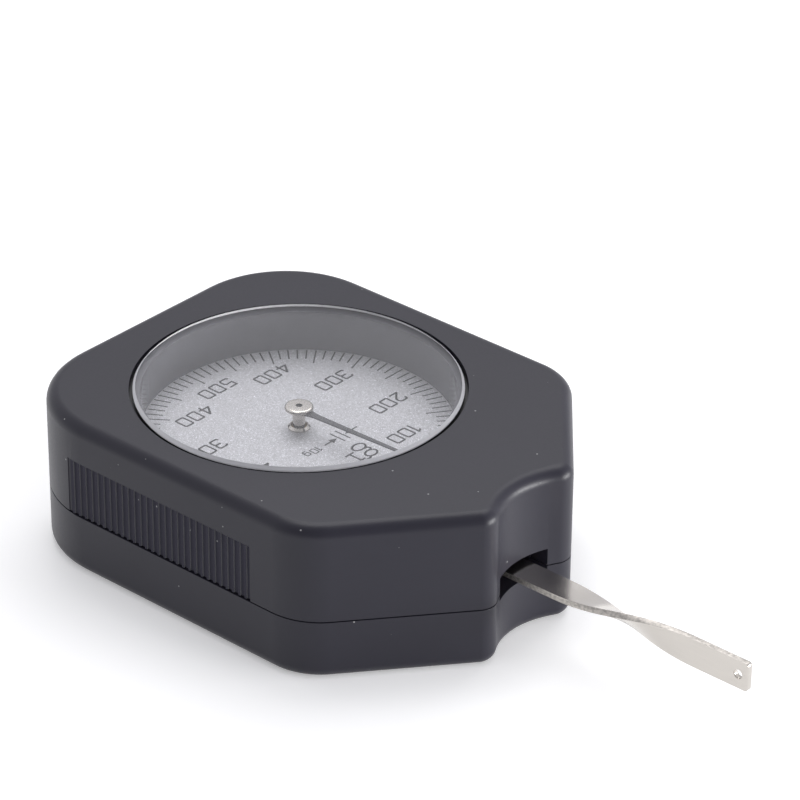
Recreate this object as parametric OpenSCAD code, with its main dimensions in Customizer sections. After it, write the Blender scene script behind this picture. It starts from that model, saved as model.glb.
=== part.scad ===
// Dial tension gauge: a hand-held case, a round dial and a twisted measuring arm.
// Millimetres. The origin lies on the rear face under the pointer axis, X runs along the arm,
// and Z runs up through the dial.

/* [Case] */
// Width across the two gripped sides
case_w = 60; // [57:0.5:70]
// Pointer axis to the flat back end
case_back = 31.6; // [30:0.1:40]
// Thickness from the rear face to the front face
case_h = 25; // [24:0.5:30]
// Height of the joint between the rear cover and the front shell
part_z = 9.7; // [9:0.1:10.5]
// Pointer axis to where the long sides turn in
side_end = 27; // [24:0.5:30]
// Pointer axis to the deepest line of the thumb cove
mouth_x = 42; // [41:0.1:46]
// How far the two nose corners stand ahead of the cove
nose_rise = 2.3; // [2:0.1:3]
// Half the distance between the two nose corners
nose_half = 9.2; // [8.6:0.1:11]
// Radius of the cove
cove_r = 13; // [11:0.5:20]
// Radius of the two nose corners
horn_r = 2.8; // [2.5:0.1:3.4]
// Radius of the back corners
back_r = 16.2; // [10:0.1:18]
// Radius of the corners where the sides turn in
side_r = 10.2; // [7:0.1:14]
// Round along the front and rear edges
edge_r = 2; // [1.2:0.1:2.4]
// Side wall of both shells
wall = 2; // [1.6:0.1:2.4]
// Front panel of the front shell
roof = 2.4; // [2:0.1:3]
// Floor of the rear cover
floor_t = 2; // [1.6:0.1:2.6]
// Open line between the two shells
seam = 0.15; // [0.1:0.05:0.4]
// Height of the rear cover's lip above the joint
lip_h = 1.5; // [1:0.1:2.5]
// Thickness of that lip
lip_t = 0.9; // [0.8:0.1:1.2]

/* [Finger grips] */
// Length of each grooved patch
grip_len = 36.2; // [20:0.1:38]
// Height of the grooves above the joint
grip_h = 9; // [6:0.1:11]
// Distance from groove to groove
grip_pitch = 1.22; // [1:0.02:2]
// Width of a groove
groove_w = 0.76; // [0.4:0.02:0.9]
// Depth of a groove below the recessed patch
groove_d = 0.25; // [0.2:0.05:0.6]
// Depth of the recess that the grooves stand in
grip_recess = 0.12; // [0.05:0.01:0.3]

/* [Window and dial] */
// Radius of the window in the front shell
window_r = 24.8; // [24:0.1:25.4]
// Thickness of the window's rim, over the crystal's flange
window_lip = 1; // [0.8:0.1:1.6]
// Dark gap between the window and the crystal
window_gap = 0.55; // [0.3:0.05:0.7]
// Thickness of the crystal
crystal_t = 2.4; // [2.2:0.1:3]
// How far the crystal stands above the front face
crystal_rise = 0.4; // [0.2:0.05:0.5]
// Bevel round the crystal, as wide as it is high
crystal_bevel = 0.4; // [0.2:0.05:0.6]
// How far the crystal's flange reaches under the rim
flange_w = 0.8; // [0.6:0.1:1]
// Thickness of the dial
dial_t = 0.8; // [0.6:0.1:1]
// How far the spacer ring stands in from the window
ring_in = 1.6; // [1.2:0.1:2.4]
// Wall of the tube that holds the crystal and the spacer ring
tube_wall = 1.4; // [1:0.1:1.8]

/* [Pointer] */
// Radius of the pointer's mushroom hub
hub_head_r = 2.15; // [1.9:0.05:2.8]
// Thickness of the hub's head
hub_head_h = 0.6; // [0.4:0.05:1]
// Radius of the hub's stem
hub_stem_r = 0.95; // [0.8:0.05:1]
// Depth of the open bore in the hub's top
hub_bore_h = 0.2; // [0.1:0.05:1]
// Dial to the top of the hub
hub_rise = 3.7; // [3.4:0.05:4.4]
// Needle's tip to the spacer ring
needle_gap = 1.6; // [1:0.1:6]
// Width of the needle beside the hub
needle_root_w = 1.4; // [0.8:0.05:1.6]
// Width of the needle at its tip
needle_tip_w = 0.6; // [0.2:0.05:0.7]
// Length of the flare where the needle leaves its eye
needle_flare = 4.5; // [3:0.1:6]
// Thickness of the needle
needle_t = 0.2; // [0.15:0.05:0.3]
// Radius of the pointer arbor
arbor_r = 0.8; // [0.7:0.05:0.95]
// Radius of the arbor's lower pivot and of its top
arbor_pivot_r = 0.5; // [0.4:0.05:0.6]

/* [Measuring arm] */
// Width of the strip
arm_w = 4.5; // [4:0.1:5]
// Thickness of the strip
arm_t = 0.9; // [0.7:0.05:1.1]
// Pointer axis to the arm's pivot
pivot_x = 32; // [30.5:0.1:32.5]
// Pointer axis to the tip of the arm
tip_x = 83; // [78:0.5:100]
// Pointer axis to the start of the quarter twist
twist_x0 = 50; // [46:0.5:52]
// Pointer axis to the end of the quarter twist
twist_x1 = 74; // [70:0.5:76]
// Hole centre to the tip
eye_back = 1.7; // [1.4:0.1:2.2]
// Radius of the hole at the tip
eye_r = 0.7; // [0.4:0.05:0.9]
// Round on the corners of the tip
tip_r = 0.5; // [0.2:0.1:0.8]
// Swing of the arm to each side
arm_swing = 12; // [10:0.5:12]
// Space beside the arm in the slot at full swing
slot_side = 0.35; // [0.3:0.05:0.8]
// Space above the strip in the slot
slot_above = 0.9; // [0.5:0.1:1.2]
// Space below the strip in the slot
slot_below = 1.9; // [1.2:0.1:2.2]

/* [Movement] */
// Thickness of the two movement plates
plate_t = 1.5; // [1.2:0.1:1.6]
// Rear cover's floor to the base plate
base_gap = 3; // [2.6:0.1:4]
// Base plate's underside to the middle of the arm's strip
base_drop = 6.05; // [5.5:0.05:6.6]
// Middle of the arm's strip to the top plate's underside
arm_drop = 3.15; // [2.9:0.05:3.5]
// Radius of the base plate
base_r = 21; // [20:0.5:22]
// Radius of the plate pillars
pillar_r = 2.2; // [2:0.1:2.6]
// Teeth on the pinion
pinion_teeth = 12;
// Teeth of a full circle at the sector's radius
sector_circle = 180;
// Teeth cut on the sector
sector_teeth = 15;
// Thickness of the sector
sector_t = 0.9; // [0.7:0.05:1]
// Play between the teeth, on each flank
tooth_play = 0.05; // [0.04:0.01:0.08]
// Radius of the arm's hub
arm_hub_r = 4.5; // [4.4:0.1:5]
// Radius of the arm shaft
shaft_r = 1.5; // [1.2:0.1:1.7]
// Radius of the arm shaft's pivots
shaft_pivot_r = 0.8; // [0.6:0.05:1]
// Thickness of the measuring spring
leaf_t = 0.5; // [0.3:0.05:0.7]
// Pointer axis to the two pins that hold the spring's free end
leaf_pin_x = 7; // [6:0.1:8]
// Play round the measuring spring, above, below and at its ends
leaf_play = 0.2; // [0.1:0.05:0.3]
// Free length of the spring past its two pins
leaf_tail = 1.2; // [1:0.1:1.6]
// Radius of the spring pins
leaf_pin_r = 0.7; // [0.5:0.05:0.9]
// Radius of the stop pins
stop_r = 1; // [0.8:0.05:1.2]
// Pivot to the line of the stop pins
stop_back = 12; // [11:0.5:14]
// Turns of the hairspring
hair_turns = 4; // [3:1:4]
// Distance between the turns of the hairspring
hair_pitch = 0.82; // [0.75:0.01:0.85]
// Thickness of the hairspring
hair_t = 0.16; // [0.1:0.02:0.2]
// Height of the hairspring
hair_h = 0.6; // [0.4:0.05:0.7]

/* [Fasteners and fits] */
// Radius of the case screws
case_screw_r = 1.2; // [1:0.05:1.4]
// Radius of the case screws' heads
case_head_r = 2.1; // [1.8:0.05:2.3]
// Height of the case screws' heads
case_head_h = 1.5; // [1.2:0.1:1.8]
// Length of the case screws in the front shell
case_thread = 6; // [4:0.1:8]
// Radius of the movement screws
small_screw_r = 0.9; // [0.7:0.05:1]
// Radius of the movement screws' heads
small_head_r = 1.7; // [1.5:0.05:1.9]
// Height of the movement screws' heads
small_head_h = 1.2; // [1:0.1:1.4]
// Height of the countersunk heads in the top plate
sunk_head_h = 0.8; // [0.6:0.05:1]
// Length of the movement screws in a pillar
small_thread = 3; // [2.5:0.1:3.5]
// Width of the slots in the screw heads
drive_w = 0.4; // [0.3:0.05:0.6]
// Radial clearance of a running fit
run = 0.03; // [0.02:0.01:0.05]
// Radial clearance of a fixed fit
fit = 0.01; // [0.005:0.005:0.02]
// Space round a screw that passes through
pass = 0.1; // [0.05:0.05:0.2]
// Space between the lip and the front shell
lip_gap = 0.1; // [0.05:0.05:0.2]

/* [Hidden] */
$fn = 96;
eps = 0.01;
function turn(a) = [cos(a), sin(a)];
half_w = case_w / 2;
nose_x = mouth_x + nose_rise;

// Outline: the slanted side that runs from a long side to a nose corner
slant_len = norm([nose_x - side_end, half_w - nose_half]);
slant_n = [(half_w - nose_half) / slant_len, (nose_x - side_end) / slant_len];
slant_d = slant_n.x * side_end + slant_n.y * half_w;
slant_a = atan2(slant_n.y, slant_n.x);
slant_t = [slant_n.y, -slant_n.x];

// Outline: centres of the corners on the +Y half, and of the cove
back_c = [-case_back + back_r, half_w - back_r];
side_c = [(slant_d - side_r - slant_n.y * (half_w - side_r)) / slant_n.x, half_w - side_r];
cove_c = [mouth_x + cove_r, 0];
horn_off = slant_d - horn_r - slant_n * cove_c;
horn_run = sqrt(pow(cove_r + horn_r, 2) - horn_off * horn_off);
horn_c = cove_c + slant_n * horn_off - slant_t * horn_run;
cove_a = asin(horn_c.y / (cove_r + horn_r));

// Heights, from the rear cover's floor up
base_z = floor_t + base_gap;
base_high = base_z + plate_t;
arm_z = base_z + base_drop;
arm_low = arm_z - arm_t / 2;
arm_high = arm_z + arm_t / 2;
sector_high = arm_high + sector_t;
top_z = arm_z + arm_drop;
dial_low = top_z + plate_t;
dial_z = dial_low + dial_t;
ceiling = case_h - roof;
crystal_top = case_h + crystal_rise;
crystal_z = crystal_top - crystal_t;

// Window stack
crystal_r = window_r - window_gap;
dial_r = window_r - ring_in;
needle_len = dial_r - needle_gap;
flange_r = window_r + flange_w;
bore_r = flange_r + 0.2;
tube_r = bore_r + tube_wall;
tube_low = dial_z + 0.3;

// Slot in the nose
slot_far = nose_x - pivot_x;
slot_half = arm_w / 2 / cos(arm_swing) + slot_far * tan(arm_swing) + slot_side;

// Gears
module_mm = 2 * pivot_x / (sector_circle + pinion_teeth);
pressure = 25;
pinion_pitch_r = module_mm * pinion_teeth / 2;
sector_pitch_r = module_mm * sector_circle / 2;
addendum = 0.75 * module_mm;
dedendum = 1.05 * module_mm;
tooth_deg = 360 / sector_circle;
sector_half = tooth_deg * ((sector_teeth - 1) / 2 + 0.8);
sector_hub_r = arm_hub_r;

// Movement levels
hub_low = base_high + 0.7;
leaf_low = hub_low + leaf_play;
leaf_h = arm_low - 3 * leaf_play - leaf_low;
leaf_end = leaf_pin_x - leaf_tail;
leaf_root = pivot_x - shaft_r - 2 * leaf_play;
hair_z = top_z - 0.5 - hair_h;
pinion_low = arm_high - 0.3;
pinion_high = hair_z - 0.3;
collet_r = arbor_r + 0.7;
hair_r0 = collet_r + 0.05 + hair_t / 2;
hair_r1 = hair_r0 + hair_turns * hair_pitch;
stud_r = 0.5;
rivet_r = 0.6;
rivet_ring = (shaft_r + arm_hub_r) / 2 + 0.1;
bush_r = arbor_r + 0.9;
dial_bush_bore = max(arbor_r, hub_stem_r) + 0.33;
dial_bush_r = dial_bush_bore + 0.4;
bush_rise = 0.5;
bush_edge = 0.2;
arm_bush_r = shaft_pivot_r + 1.2;
stop_angle = sector_half + arm_swing;
stop_y = (stop_r + 0.08 + stop_back * sin(stop_angle)) / cos(stop_angle);
hub_top = dial_z + hub_rise;
head_low = hub_top - hub_head_h;
needle_z = head_low - needle_t;

// Places of the fasteners
pillar_back = (base_r - pillar_r - 0.3) * turn(133);
pillar_front = (flange_r - pillar_r - 0.1) * turn(31);
pillar_at = [for (p = [pillar_back, pillar_front], s = [1, -1]) [p.x, s * p.y]];
movement_at = [for (a = [58, 180, -58]) (base_r - small_head_r - 0.4) * turn(a)];
post_back = back_c + (back_r - wall - lip_t - case_head_r - 3.3) * [cos(133), sin(133)];
column_r = case_screw_r + 1.4;
post_front = (tube_r + column_r + 0.4) * turn(45);
post_at = [for (p = [post_back, post_front], s = [1, -1]) [p.x, s * p.y]];
post_r = case_head_r + 0.9;
post_top = part_z - 0.6;
head_seat = case_head_h + 0.9;
foot_r = 0.8;
foot_at = [for (a = [90, -90]) (flange_r - 5.6) * turn(a)];
top_boss_r = arm_bush_r + 4.5;
base_boss_r = arm_bush_r + 3;
base_half = max(pillar_front.y + pillar_r, stop_y + stop_r) + 0.8;
base_front = max(pillar_front.x + pillar_r, pivot_x - stop_back + stop_r) + 0.8;

black = [0.13, 0.13, 0.14];
steel = [0.75, 0.75, 0.73];
brass = [0.78, 0.63, 0.33];
nickel = [0.82, 0.80, 0.76];

function arc(c, r, a0, a1, n) = [for (i = [0:n]) c + r * turn(a0 + (a1 - a0) * i / n)];
function flip(p) = [p.x, -p.y];

// Half of the outline, from the middle of the nose to the flat back end
function back_half(inset) = concat(
    arc(side_c, side_r - inset, slant_a, 90, 12),
    arc(back_c, back_r - inset, 90, 180, 20));

// Outline of the case a set distance in, with the cove; it starts at the back end
function outline(inset) = let (
        horn = arc(horn_c, horn_r - inset, -cove_a, slant_a, 9),
        half = concat(horn, back_half(inset)),
        n = len(half),
        cove = arc(cove_c, cove_r + inset, 180 + cove_a, 180 - cove_a, 18))
    concat([for (i = [n - 1:-1:0]) flip(half[i])], [for (i = [1:len(cove) - 2]) cove[i]], half);

// Where the slanted side and the flat of the nose meet, a set distance in
function nose_corner(inset) = let (x = mouth_x - inset) [x, (slant_d - inset - slant_n.x * x) / slant_n.y];

// Whole outline of the case as a solid block, rounded along its far edge
round_steps = 7;
module case_block(h) {
    rings = concat([[0, 0]], [for (i = [0:round_steps]) let (a = 90 * i / round_steps)
        [edge_r * (1 - cos(a)), h - edge_r * (1 - sin(a))]]);
    n = len(outline(0));
    points = [for (r = rings) each [for (p = outline(r[0])) [p.x, p.y, r[1]]]];
    sides = [for (k = [0:len(rings) - 2], i = [0:n - 1])
        let (a = k * n + i, b = k * n + (i + 1) % n)
        each [[a, b + n, b], [a, a + n, b + n]]];
    last = (len(rings) - 1) * n;
    polyhedron(points, concat([[for (i = [0:n - 1]) i]], sides, [[for (i = [n - 1:-1:0]) last + i]]));
}

// Plain block inside the case, a set distance in from the outline
module inside(inset, z0, z1) {
    half = concat([nose_corner(inset)], back_half(inset));
    n = len(half);
    translate([0, 0, z0])
        linear_extrude(z1 - z0)
            polygon(concat(half, [for (i = [n - 1:-1:0]) flip(half[i])]));
}

// Slot for the arm, through the nose of both shells
module arm_slot() {
    reach = nose_rise + wall + lip_t + 3;
    translate([nose_x + 1 - reach, -slot_half, arm_low - slot_below])
        cube([reach, 2 * slot_half, arm_t + slot_below + slot_above]);
}

// Tube with a bore right through
module tube(r, bore, z0, z1) {
    translate([0, 0, z0])
        difference() {
            cylinder(r = r, h = z1 - z0);
            translate([0, 0, -1])
                cylinder(r = bore, h = z1 - z0 + 2);
        }
}

// Pan-headed screw that points up, its head's seat at z = 0
module pan_screw(r, head_r, head_h, len) {
    difference() {
        union() {
            cylinder(r = r, h = len);
            translate([0, 0, -head_h])
                cylinder(r = head_r, h = head_h);
        }
        for (a = [0, 90])
            rotate([0, 0, a])
                translate([-head_r * 0.6, -drive_w / 2, -head_h - 1])
                    cube([head_r * 1.2, drive_w, 1 + head_h * 0.55]);
    }
}

// Copies of a piece at each of a list of places
module each_at(places) {
    for (p = places)
        translate([p.x, p.y, 0])
            children();
}

module front_shell() {
    grooves = floor((grip_len - groove_w) / grip_pitch) + 1;
    patch = (grooves - 1) * grip_pitch + groove_w;
    groove_deep = grip_recess + groove_d;
    screw_top = post_top + case_thread + 0.4;
    color(black)
        difference() {
            union() {
                difference() {
                    translate([0, 0, part_z])
                        case_block(case_h - part_z);
                    inside(wall, part_z - 1, ceiling);
                }
                translate([0, 0, tube_low])
                    cylinder(r = tube_r, h = ceiling - tube_low + 0.5);
                each_at(post_at)
                    translate([0, 0, post_top])
                        cylinder(r = column_r, h = ceiling - post_top + 0.5);
            }
            translate([0, 0, tube_low - 1])
                cylinder(r = bore_r, h = case_h - window_lip - tube_low + 1);
            translate([0, 0, case_h - window_lip - 1])
                cylinder(r = window_r, h = window_lip + 2);
            each_at(post_at)
                translate([0, 0, post_top - 1])
                    cylinder(r = case_screw_r + fit, h = screw_top - post_top + 1);
            for (s = [1, -1]) {
                translate([-patch / 2, s * half_w - grip_recess, part_z - 1])
                    cube([patch, 2 * grip_recess, grip_h + 1]);
                for (i = [0:grooves - 1])
                    translate([i * grip_pitch - patch / 2, s * half_w - groove_deep, part_z - 1])
                        cube([groove_w, 2 * groove_deep, grip_h + 1]);
            }
            arm_slot();
        }
}

module rear_cover() {
    top = part_z - seam;
    rim_low = part_z - 3;
    color(black)
        difference() {
            union() {
                difference() {
                    union() {
                        translate([0, 0, top])
                            mirror([0, 0, 1])
                                case_block(top);
                        inside(wall + lip_gap, floor_t, part_z + lip_h);
                    }
                    inside(wall, floor_t, rim_low);
                    inside(wall + lip_gap + lip_t, rim_low - 1, part_z + lip_h + 1);
                }
                each_at(post_at)
                    translate([0, 0, floor_t - 0.5])
                        cylinder(r = post_r, h = post_top - floor_t + 0.5);
                each_at(movement_at)
                    translate([0, 0, floor_t - 0.5])
                        cylinder(r = small_screw_r + 1.6, h = base_z - floor_t + 0.5);
            }
            each_at(post_at) {
                translate([0, 0, -1])
                    cylinder(r = case_head_r + 0.2, h = head_seat + 1);
                cylinder(r = case_screw_r + pass, h = post_top + 1);
            }
            each_at(movement_at)
                translate([0, 0, floor_t + 0.3])
                    cylinder(r = small_screw_r + fit, h = base_z);
            arm_slot();
        }
}

module case_screws() {
    color(steel)
        each_at(post_at)
            translate([0, 0, head_seat])
                pan_screw(case_screw_r, case_head_r, case_head_h, post_top + case_thread - head_seat);
}

module crystal() {
    color([0.85, 0.9, 0.92, 0.35])
        rotate_extrude()
            polygon([[0, crystal_z], [flange_r, crystal_z], [flange_r, case_h - window_lip - 0.05],
                [crystal_r, case_h - window_lip - 0.05], [crystal_r, crystal_top - crystal_bevel],
                [crystal_r - crystal_bevel, crystal_top], [0, crystal_top]]);
}

module dial_ring() {
    color([0.2, 0.2, 0.21])
        tube(flange_r, dial_r, dial_z, crystal_z);
}

module dial_plate() {
    color([0.78, 0.78, 0.77])
        difference() {
            union() {
                translate([0, 0, dial_low])
                    cylinder(r = flange_r, h = dial_t);
                each_at(foot_at)
                    translate([0, 0, top_z + 0.2])
                        cylinder(r = foot_r, h = plate_t + dial_t / 2 - 0.2);
            }
            translate([0, 0, dial_low - 1])
                cylinder(r = dial_bush_r + fit, h = dial_t + 2);
        }
}

// Bush with a coned top, round the foot of the hub's stem
module dial_bush() {
    color(nickel)
        rotate_extrude()
            polygon([[dial_bush_bore, dial_low], [dial_bush_r, dial_low], [dial_bush_r, dial_z + bush_edge],
                [dial_bush_bore + 0.1, dial_z + bush_rise], [dial_bush_bore, dial_z + bush_rise]]);
}

// Needle: a short eye under the hub's head, a flare and a long taper, with no tail
module pointer_needle() {
    eye = hub_stem_r + 0.7;
    taper = function(x) (needle_root_w + (needle_tip_w - needle_root_w) * x / needle_len) / 2;
    flare = function(x) (eye - needle_root_w / 2) * pow(max(0, 1 - x / needle_flare), 3);
    edge = [for (x = [0:0.5:needle_flare]) [x, taper(x) + flare(x)]];
    half = concat(edge, [[needle_len, needle_tip_w / 2]]);
    color([0.08, 0.08, 0.09])
        translate([0, 0, needle_z])
            difference() {
                union() {
                    cylinder(r = eye, h = needle_t);
                    linear_extrude(needle_t)
                        polygon(concat(half, [for (i = [len(half) - 1:-1:0]) flip(half[i])]));
                }
                translate([0, 0, -1])
                    cylinder(r = hub_stem_r + fit, h = needle_t + 2);
            }
}

module pointer_hub() {
    round_h = hub_head_h * 0.6;
    bore = arbor_pivot_r + fit;
    color(nickel)
        rotate_extrude()
            polygon([[bore, dial_z + 0.35], [hub_stem_r, dial_z + 0.35], [hub_stem_r, head_low],
                [hub_head_r - 0.1, head_low], [hub_head_r, head_low + 0.1],
                [hub_head_r, hub_top - round_h],
                for (a = [15:15:75]) [hub_head_r - round_h * (1 - cos(a)), hub_top - round_h * (1 - sin(a))],
                [hub_head_r - round_h, hub_top], [bore, hub_top]]);
}

module pointer_arbor() {
    color(steel)
        translate([0, 0, base_z])
            union() {
                cylinder(r = arbor_pivot_r, h = hub_top - hub_bore_h - base_z);
                translate([0, 0, plate_t + 0.1])
                    cylinder(r = arbor_r, h = dial_z - base_z - plate_t - 0.2);
            }
}

// Turn of an involute flank at radius r, in degrees
function involute_deg(r, base_r) = let (a = acos(min(1, base_r / r))) tan(a) * 180 / PI - a;

module pinion() {
    base = pinion_pitch_r * cos(pressure);
    root = pinion_pitch_r - dedendum;
    tip = pinion_pitch_r + addendum;
    steps = 5;
    at_pitch = 90 / pinion_teeth - tooth_play / pinion_pitch_r * 180 / PI;
    half = function(r) at_pitch + involute_deg(pinion_pitch_r, base) - involute_deg(r, base);
    radii = [for (i = [0:steps]) base + (tip - base) * i / steps];
    flank = concat([[root, half(base)]], [for (r = radii) [r, half(r)]]);
    n = len(flank);
    color(brass)
        translate([0, 0, pinion_low])
            difference() {
                linear_extrude(pinion_high - pinion_low)
                    polygon([for (k = [0:pinion_teeth - 1], i = [0:2 * n - 1])
                        let (f = i < n ? flank[i] : flank[2 * n - 1 - i],
                            a = 360 * (k + 0.5) / pinion_teeth + (i < n ? -f[1] : f[1]))
                        f[0] * turn(a)]);
                translate([0, 0, -1])
                    cylinder(r = arbor_r + fit, h = pinion_high - pinion_low + 2);
            }
}

module hairspring_collet() {
    color(brass)
        tube(collet_r, arbor_r + fit, hair_z - 0.15, hair_z + hair_h + 0.15);
}

// Flat spiral, wound outward from the collet to the stud
module hairspring() {
    step = 10;
    last = hair_turns * 360 / step;
    line = function(off) [for (i = [0:last]) (hair_r0 + hair_pitch * i * step / 360 + off) * turn(i * step)];
    outer = line(hair_t / 2);
    inner = line(-hair_t / 2);
    echo(hairspring_gap = hair_pitch - hair_t);
    color([0.45, 0.5, 0.62])
        translate([0, 0, hair_z])
            linear_extrude(hair_h)
                polygon(concat(outer, [for (i = [last:-1:0]) inner[i]]));
}

module hairspring_stud() {
    color(brass)
        translate([hair_r1, stud_r + fit, hair_z - 0.1])
            cylinder(r = stud_r, h = dial_low - hair_z + 0.1);
}

module top_plate() {
    color(steel)
        difference() {
            union() {
                translate([0, 0, top_z])
                    cylinder(r = flange_r, h = plate_t);
                translate([flange_r - 5, 0.5 - top_boss_r, top_z])
                    cube([pivot_x - flange_r + 5, 2 * top_boss_r - 1, plate_t]);
                translate([pivot_x, 0, top_z])
                    cylinder(r = top_boss_r, h = plate_t);
            }
            translate([0, 0, top_z - 1]) {
                cylinder(r = bush_r + fit, h = plate_t + 2);
                translate([pivot_x, 0, 0])
                    cylinder(r = arm_bush_r + fit, h = plate_t + 2);
                translate([hair_r1, stud_r + fit, 0])
                    cylinder(r = stud_r + fit, h = plate_t + 2);
                each_at(foot_at)
                    cylinder(r = foot_r + fit, h = plate_t + 2);
                each_at(pillar_at)
                    cylinder(r = small_screw_r + pass, h = plate_t + 2);
            }
            each_at(pillar_at)
                translate([0, 0, dial_low - sunk_head_h - 0.1])
                    cylinder(r1 = small_screw_r + pass, r2 = small_head_r + pass, h = sunk_head_h + 0.1 + eps);
        }
}

module base_plate() {
    color(steel)
        difference() {
            union() {
                translate([0, 0, base_z])
                    cylinder(r = base_r, h = plate_t);
                translate([0, -base_half, base_z])
                    cube([base_front, 2 * base_half, plate_t]);
                translate([pillar_front.x, 0.5 - base_boss_r, base_z])
                    cube([pivot_x - pillar_front.x, 2 * base_boss_r - 1, plate_t]);
                translate([pivot_x, 0, base_z])
                    cylinder(r = base_boss_r, h = plate_t);
            }
            translate([0, 0, base_z - 1]) {
                cylinder(r = bush_r + fit, h = plate_t + 2);
                translate([pivot_x, 0, 0])
                    cylinder(r = arm_bush_r + fit, h = plate_t + 2);
                each_at(concat(pillar_at, movement_at))
                    cylinder(r = small_screw_r + pass, h = plate_t + 2);
                each_at(spring_pin_at)
                    cylinder(r = leaf_pin_r + fit, h = plate_t + 2);
                each_at(stop_at)
                    cylinder(r = stop_r + fit, h = plate_t + 2);
            }
        }
}

spring_pin_y = leaf_t / 2 + 0.05 + leaf_pin_r;
spring_pin_at = [for (s = [1, -1]) [leaf_pin_x, s * spring_pin_y]];
stop_at = [for (s = [1, -1]) [pivot_x - stop_back, s * stop_y]];
pillar_screw_len = plate_t + small_thread;

module plate_pillars() {
    color(brass)
        each_at(pillar_at)
            difference() {
                translate([0, 0, base_high])
                    cylinder(r = pillar_r, h = top_z - base_high);
                for (z = [base_high - 1, top_z - small_thread - 0.2])
                    translate([0, 0, z])
                        cylinder(r = small_screw_r + fit, h = small_thread + 1.2);
            }
}

module pillar_screws_upper() {
    color(steel)
        each_at(pillar_at)
            difference() {
                translate([0, 0, dial_low - pillar_screw_len])
                    union() {
                        cylinder(r = small_screw_r, h = pillar_screw_len - 0.05);
                        translate([0, 0, pillar_screw_len - sunk_head_h - 0.05])
                            cylinder(r1 = small_screw_r, r2 = small_head_r, h = sunk_head_h);
                    }
                translate([-small_head_r - 1, -drive_w / 2, dial_low - sunk_head_h / 2])
                    cube([2 * small_head_r + 2, drive_w, sunk_head_h]);
            }
}

module pillar_screws_lower() {
    color(steel)
        each_at(pillar_at)
            translate([0, 0, base_z])
                pan_screw(small_screw_r, small_head_r, small_head_h, pillar_screw_len);
}

module movement_screws() {
    color(steel)
        each_at(movement_at)
            translate([0, 0, base_high])
                mirror([0, 0, 1])
                    pan_screw(small_screw_r, small_head_r, small_head_h, base_high - floor_t - 0.5);
}

module arbor_bush_upper() {
    color(brass)
        tube(bush_r, arbor_r + run, top_z, dial_low);
}

module arbor_bush_lower() {
    color(brass)
        tube(bush_r, arbor_pivot_r + run, base_z, base_high);
}

module arm_shaft() {
    color(steel)
        translate([pivot_x, 0, base_z])
            union() {
                cylinder(r = shaft_pivot_r, h = dial_low - base_z - 0.1);
                translate([0, 0, plate_t + 0.1])
                    cylinder(r = shaft_r, h = top_z - base_high - 0.2);
            }
}

module arm_bush_upper() {
    color(brass)
        translate([pivot_x, 0, 0])
            tube(arm_bush_r, shaft_pivot_r + run, top_z, dial_low);
}

module arm_bush_lower() {
    color(brass)
        translate([pivot_x, 0, 0])
            tube(arm_bush_r, shaft_pivot_r + run, base_z, base_high);
}

// Bores of the shaft and the rivets, shared by the hub, the arm and the sector
rivet_at = [for (a = [60, 180 - 60, 240, 300]) rivet_ring * turn(a)];
module pivot_bores() {
    translate([pivot_x, 0, 0]) {
        cylinder(r = shaft_r + fit, h = case_h);
        each_at(rivet_at)
            cylinder(r = rivet_r + fit, h = case_h);
    }
}

module arm_hub() {
    color(brass)
        difference() {
            translate([pivot_x, 0, hub_low])
                cylinder(r = arm_hub_r, h = arm_low - hub_low);
            pivot_bores();
            translate([pivot_x - arm_hub_r - 1, -leaf_t / 2 - fit, hub_low - 1])
                cube([arm_hub_r + 1 - (pivot_x - leaf_root), leaf_t + 2 * fit, leaf_low - hub_low + leaf_h + 1 + fit]);
        }
}

module sector_gear() {
    root = sector_pitch_r - dedendum;
    tip = sector_pitch_r + addendum;
    at_pitch = module_mm * PI / 4 - tooth_play;
    at_root = at_pitch + dedendum * tan(pressure);
    at_tip = at_pitch - addendum * tan(pressure);
    low = -(sector_teeth - 1) / 2;
    half_deg = function(w, r) w / r * 180 / PI;
    teeth = [for (k = [0:sector_teeth - 1])
        let (a = (low + k) * tooth_deg)
        each [root * turn(a - half_deg(at_root, root)), tip * turn(a - half_deg(at_tip, tip)),
            tip * turn(a + half_deg(at_tip, tip)), root * turn(a + half_deg(at_root, root))]];
    fan = concat([[0, 0], root * turn(-sector_half)], teeth, [root * turn(sector_half)]);
    color(brass)
        difference() {
            translate([pivot_x, 0, arm_high])
                rotate([0, 0, 180])
                    difference() {
                        union() {
                            cylinder(r = sector_hub_r, h = sector_t);
                            linear_extrude(sector_t)
                                polygon(fan);
                        }
                        translate([0, 0, -1])
                            rotate([0, 0, -sector_half * 0.62])
                                rotate_extrude(angle = sector_half * 1.24)
                                    translate([sector_hub_r + 3, 0])
                                        square([root - sector_hub_r - 6, sector_t + 2]);
                    }
            pivot_bores();
        }
}

// Strip of the arm: flat at the slot, a quarter twist, then upright to the tip
function ease(t) = t * t * (3 - 2 * t);
twist_steps = 36;
tip_steps = 5;
arm_sections = concat(
    [for (i = [0:twist_steps]) let (t = i / twist_steps)
        [twist_x0 + (twist_x1 - twist_x0) * t, -90 * ease(t), arm_w / 2]],
    [for (i = [0:tip_steps]) let (a = 90 * i / tip_steps)
        [tip_x - tip_r * (1 - sin(a)), -90, arm_w / 2 - tip_r * (1 - cos(a))]]);

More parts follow.
